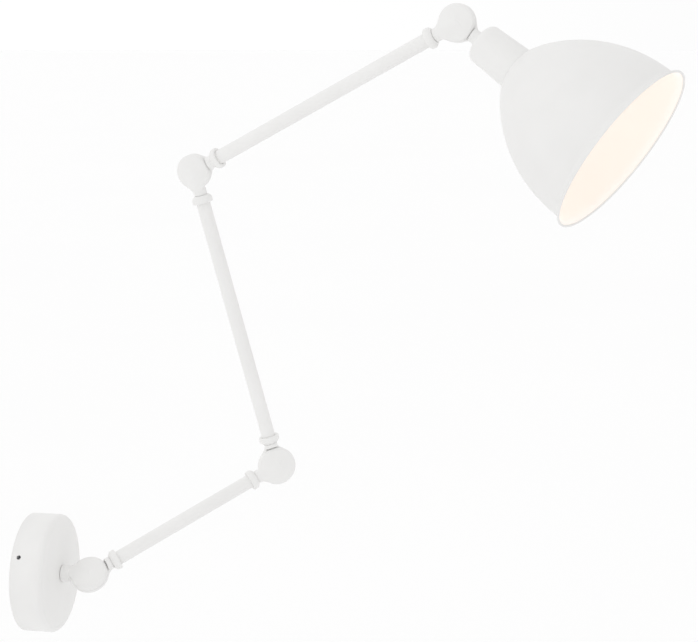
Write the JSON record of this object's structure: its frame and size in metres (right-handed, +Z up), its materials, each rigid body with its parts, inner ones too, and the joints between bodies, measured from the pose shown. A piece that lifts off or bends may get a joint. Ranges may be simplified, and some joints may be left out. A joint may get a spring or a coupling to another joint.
{
  "type": "swing arm wall sconce",
  "caption": "White wall lamp with a round wall plate, jointed tube arms on friction knuckles and a deep bell shade.",
  "frame": {"origin": "centre of the wall plate's back, on the wall", "axes": "+X out of the wall, +Z up, +Y along the wall to the left of someone facing it"},
  "size_m": [0.7231, 0.2709, 0.7079],
  "materials": {
    "white_paint": "white powder coat, fine satin texture",
    "shade_enamel": "white powder coat outside, gloss white inside",
    "zinc_steel": "zinc plated, pressed",
    "black_steel": "black oxide, hardened",
    "brass": "bare, pressed",
    "fibre": "vulcanised fibre, matt",
    "ivory_plastic": "moulded, satin",
    "flex_sheath": "smooth sheath"
  },
  "bodies": {
    "wall_plate": {"wall_bracket": "zinc_steel", "canopy": "white_paint", "canopy_screws": "black_steel", "terminal_block": "ivory_plastic", "earth_screw": "brass", "stiffener": "zinc_steel"},
    "wall_stub": {"wall_stub": "white_paint", "swivel_washer": "fibre", "swivel_spring": "zinc_steel", "swivel_nut": "zinc_steel", "stub_flex": "flex_sheath", "wall_friction_washer": "fibre", "wall_pivot_screw": "black_steel", "wall_spring_washer": "zinc_steel"},
    "arm_1_base": {"arm_1_knuckle": "white_paint"},
    "arm_1": {"arm_1_tube": "white_paint", "arm_1_swivel_collar": "white_paint", "arm_1_lock_screw": "black_steel", "arm_1_end_collar": "white_paint", "arm_1_flex": "flex_sheath", "elbow_1_front": "white_paint", "elbow_1_friction_washer": "fibre", "elbow_1_pivot_screw": "black_steel", "elbow_1_spring_washer": "zinc_steel"},
    "arm_2_base": {"elbow_1_rear": "white_paint"},
    "arm_2": {"arm_2_tube": "white_paint", "arm_2_swivel_collar": "white_paint", "arm_2_lock_screw": "black_steel", "arm_2_end_collar": "white_paint", "arm_2_flex": "flex_sheath", "elbow_2_front": "white_paint", "elbow_2_friction_washer": "fibre", "elbow_2_pivot_screw": "black_steel", "elbow_2_spring_washer": "zinc_steel"},
    "arm_3": {"elbow_2_rear": "white_paint", "arm_3_end_collar": "white_paint", "arm_3_tube": "white_paint", "arm_3_swivel_collar": "white_paint", "arm_3_lock_screw": "black_steel", "arm_3_flex": "flex_sheath"},
    "head_base": {"head_knuckle_front": "white_paint", "head_friction_washer": "fibre", "head_pivot_screw": "black_steel", "head_spring_washer": "zinc_steel"},
    "head": {"head_knuckle_rear": "white_paint", "head_flex": "flex_sheath", "lampholder_cup": "white_paint", "cup_nut": "zinc_steel", "lampholder": "ivory_plastic", "socket_shell": "brass", "centre_contact": "brass", "shade_ring": "ivory_plastic", "shade": "shade_enamel"}
  },
  "joints": [
    {"name": "wall_swivel", "type": "hinge", "parent": "wall_plate", "child": "wall_stub", "pos_m": [0.038, 0, 0], "axis": [1, 0, 0], "range_deg": [-170, 170]},
    {"name": "wall_hinge", "type": "hinge", "parent": "wall_stub", "child": "arm_1_base", "pos_m": [0.071, 0, 0], "axis": [0, -0.6997, 0.7145], "range_deg": [-134.3, 55.7]},
    {"name": "arm_1_swivel", "type": "hinge", "parent": "arm_1_base", "child": "arm_1", "pos_m": [0.09716, 0.0153, 0.01498], "axis": [0.7738, 0.4525, 0.4432], "range_deg": [-200.3, 99.7]},
    {"name": "elbow_1", "type": "hinge", "parent": "arm_1", "child": "arm_2_base", "pos_m": [0.26369, 0.11268, 0.11034], "axis": [0.4873, -0.8723, 0.0398], "range_deg": [-213.4, 56.6]},
    {"name": "arm_2_swivel", "type": "hinge", "parent": "arm_2_base", "child": "arm_2", "pos_m": [0.25555, 0.10963, 0.14301], "axis": [-0.2407, -0.0904, 0.9664], "range_deg": [-110.3, 189.7]},
    {"name": "elbow_2", "type": "hinge", "parent": "arm_2", "child": "arm_3", "pos_m": [0.17775, 0.08042, 0.45534], "axis": [-0.1612, -0.9781, -0.1316], "range_deg": [-59.8, 210.2]},
    {"name": "head_swivel", "type": "hinge", "parent": "arm_3", "child": "head_base", "pos_m": [0.45695, 0.01437, 0.60415], "axis": [0.8639, -0.2044, 0.4604], "range_deg": [-137.6, 162.4]},
    {"name": "head_tilt", "type": "hinge", "parent": "head_base", "child": "head", "pos_m": [0.48615, 0.00746, 0.61971], "axis": [-0.2599, -0.9638, 0.06], "range_deg": [-52.8, 177.2]}
  ]
}
